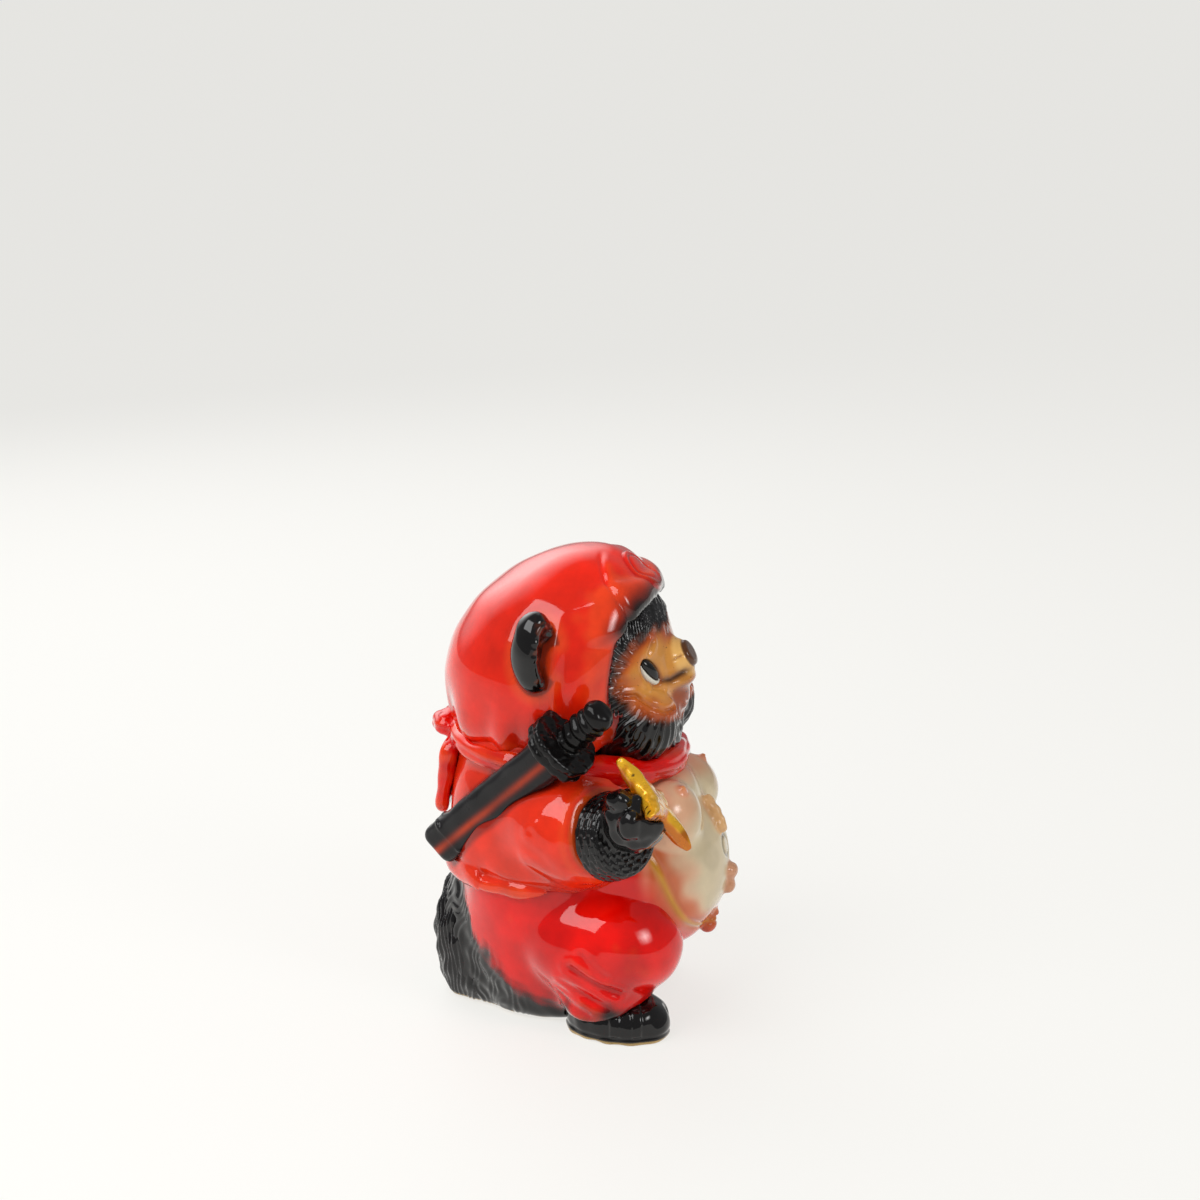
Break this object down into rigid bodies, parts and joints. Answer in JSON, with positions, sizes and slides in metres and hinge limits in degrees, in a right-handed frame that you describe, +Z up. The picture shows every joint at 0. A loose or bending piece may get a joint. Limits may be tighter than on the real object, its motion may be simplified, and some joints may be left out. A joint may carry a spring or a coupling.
{
  "type": "tanuki statue",
  "caption": "Glazed ceramic tanuki figure dressed as a ninja in red, with a short sword on its back and a throwing star in one paw; a standing ornament.",
  "frame": {"origin": "on the table plane, at the middle of the figure between its sides, under the body", "axes": "+Z up from the table; the figure faces -Y; its right side, with the sword and star, is -X"},
  "size_m": [0.1849, 0.1681, 0.2516],
  "materials": {
    "bare_clay": "unglazed fired clay, matt",
    "red_glaze": "glossy red glaze",
    "black_glaze": "glossy black glaze over combed fur",
    "belly_glaze": "glossy cream glaze with orange airbrushed edges",
    "tan_glaze": "glossy tan glaze with dark specks",
    "gold_lustre": "glossy gold-yellow glaze with dark specks",
    "scabbard_glaze": "semi-matt black glaze",
    "white_glaze": "glossy white glaze",
    "nose_glaze": "glossy dark brown glaze"
  },
  "bodies": {
    "root": {"base_slab": "bare_clay", "trousers_seat": "red_glaze", "right_trouser_leg": "red_glaze", "left_trouser_leg": "red_glaze", "right_foot": "black_glaze", "left_foot": "black_glaze", "tail": "black_glaze", "waist_roll": "red_glaze", "jacket": "red_glaze", "neck_scarf": "red_glaze", "belly": "belly_glaze", "right_breast": "belly_glaze", "left_breast": "belly_glaze", "nipples": "tan_glaze", "chest_tuft": "tan_glaze", "navel": "tan_glaze", "belly_knobs": "tan_glaze", "throwing_star": "gold_lustre", "right_sleeve": "red_glaze", "left_sleeve": "red_glaze", "right_forearm": "black_glaze", "left_forearm": "black_glaze", "right_paw": "black_glaze", "left_paw": "black_glaze", "scabbard": "scabbard_glaze", "scabbard_band": "scabbard_glaze", "sword_guard": "scabbard_glaze", "sword_hilt": "scabbard_glaze", "hilt_cap": "scabbard_glaze", "hood": "red_glaze", "face": "tan_glaze", "hood_medallion": "red_glaze", "snout": "tan_glaze", "nose_pad": "nose_glaze", "chin": "tan_glaze", "right_eye": "white_glaze", "left_eye": "white_glaze", "right_pupil": "nose_glaze", "left_pupil": "nose_glaze", "right_ear": "black_glaze", "left_ear": "black_glaze", "scarf_knot": "red_glaze", "right_scarf_end": "red_glaze", "left_scarf_end": "red_glaze"}
  },
  "joints": []
}
